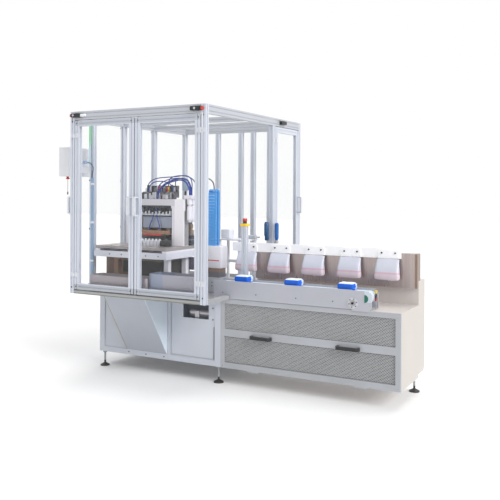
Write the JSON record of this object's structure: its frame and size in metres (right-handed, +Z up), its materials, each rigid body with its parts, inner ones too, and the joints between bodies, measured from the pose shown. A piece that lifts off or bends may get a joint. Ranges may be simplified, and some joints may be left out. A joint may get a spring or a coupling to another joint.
{
  "type": "sachet packing machine",
  "caption": "Guarded packing machine: a glazed cell with hinged doors over a cabinet, and an outfeed conveyor beside a rail of hanging bags.",
  "frame": {"origin": "middle of the machine's floor outline, on the floor", "axes": "+X along the machine towards the outfeed end, +Y from the doors to the back, +Z up"},
  "size_m": [2.76, 1.655, 2.063],
  "materials": {
    "bag_film": "white film with a pink foot",
    "belt_blue": "blue-grey belt",
    "black_plastic": "moulded black",
    "blue_plastic": "bright blue polyamide links",
    "box_white": "white powder coat",
    "brushed_wall": "vertically brushed stainless sheet",
    "cabinet_white": "cream white powder coat",
    "clear": "clear polycarbonate",
    "conveyor_grey": "grey side plates",
    "dark_cover": "dark covers and tooling",
    "foot_black": "moulded black pads on plated stems",
    "hinge_zinc": "satin die-cast",
    "hose_blue": "blue plastic hose",
    "lens_colour": "stacked orange, yellow and green lenses",
    "machine_white": "white-grey machine paint",
    "mesh_grey": "perforated sheet",
    "pack_blue": "blue and white film",
    "paint_grey": "light grey powder coat",
    "panel_blue": "blue-grey powder coat",
    "profile": "anodised slotted bar",
    "sill": "satin grey",
    "steel": "brushed stainless steel",
    "stop_red": "red push button on a yellow collar",
    "trunk_blue": "blue-grey cable trunk"
  },
  "bodies": {
    "machine": {"air_hoses": "hose_blue", "air_units": "machine_white", "back_wall": "brushed_wall", "base_legs": "paint_grey", "base_panels": "paint_grey", "base_rails": "paint_grey", "belt_guard": "clear", "cable_trunk": "trunk_blue", "carrier_rail": "cabinet_white", "cell_cross_beams": "profile", "cell_floor": "steel", "cell_panes": "clear", "cell_posts": "profile", "cell_sills": "sill", "cell_top_rails": "profile", "chute": "panel_blue", "control_box": "box_white", "control_cable": "hose_blue", "conveyor_belt": "belt_blue", "conveyor_plates": "conveyor_grey", "conveyor_rollers": "steel", "cover_frame": "paint_grey", "cover_handles": "black_plastic", "cover_mesh": "mesh_grey", "drive_housing": "dark_cover", "energy_chain": "blue_plastic", "gantry": "machine_white", "grab_handle": "box_white", "hanging_bags": "bag_film", "hinge_leaves": "hinge_zinc", "levelling_feet": "foot_black", "lower_trays": "steel", "machine_table": "machine_white", "outfeed_shell": "cabinet_white", "packs": "pack_blue", "rear_duct": "cabinet_white", "safety_switches": "black_plastic", "sealing_head": "dark_cover", "signal_lamp": "lens_colour", "stop_button": "stop_red", "stop_column": "profile", "vacuum_filter": "steel", "valve_row": "black_plastic"},
    "door_left": {"door_left_fittings": "hinge_zinc", "door_left_frame": "profile", "door_left_pane": "clear"},
    "door_right": {"door_right_fittings": "hinge_zinc", "door_right_frame": "profile", "door_right_pane": "clear"},
    "door_side": {"door_side_fittings": "hinge_zinc", "door_side_frame": "profile", "door_side_pane": "clear"}
  },
  "joints": [
    {"name": "door_left_hinge", "type": "hinge", "parent": "machine", "child": "door_left", "pos_m": [-1.127, -0.7915, 1.334], "axis": [0, 0, -1], "range_deg": [0, 110]},
    {"name": "door_right_hinge", "type": "hinge", "parent": "machine", "child": "door_right", "pos_m": [0.037, -0.7915, 1.334], "axis": [0, 0, 1], "range_deg": [0, 110]},
    {"name": "door_side_hinge", "type": "hinge", "parent": "machine", "child": "door_side", "pos_m": [0.089, 0.3205, 1.334], "axis": [0, 0, -1], "range_deg": [0, 95]}
  ]
}
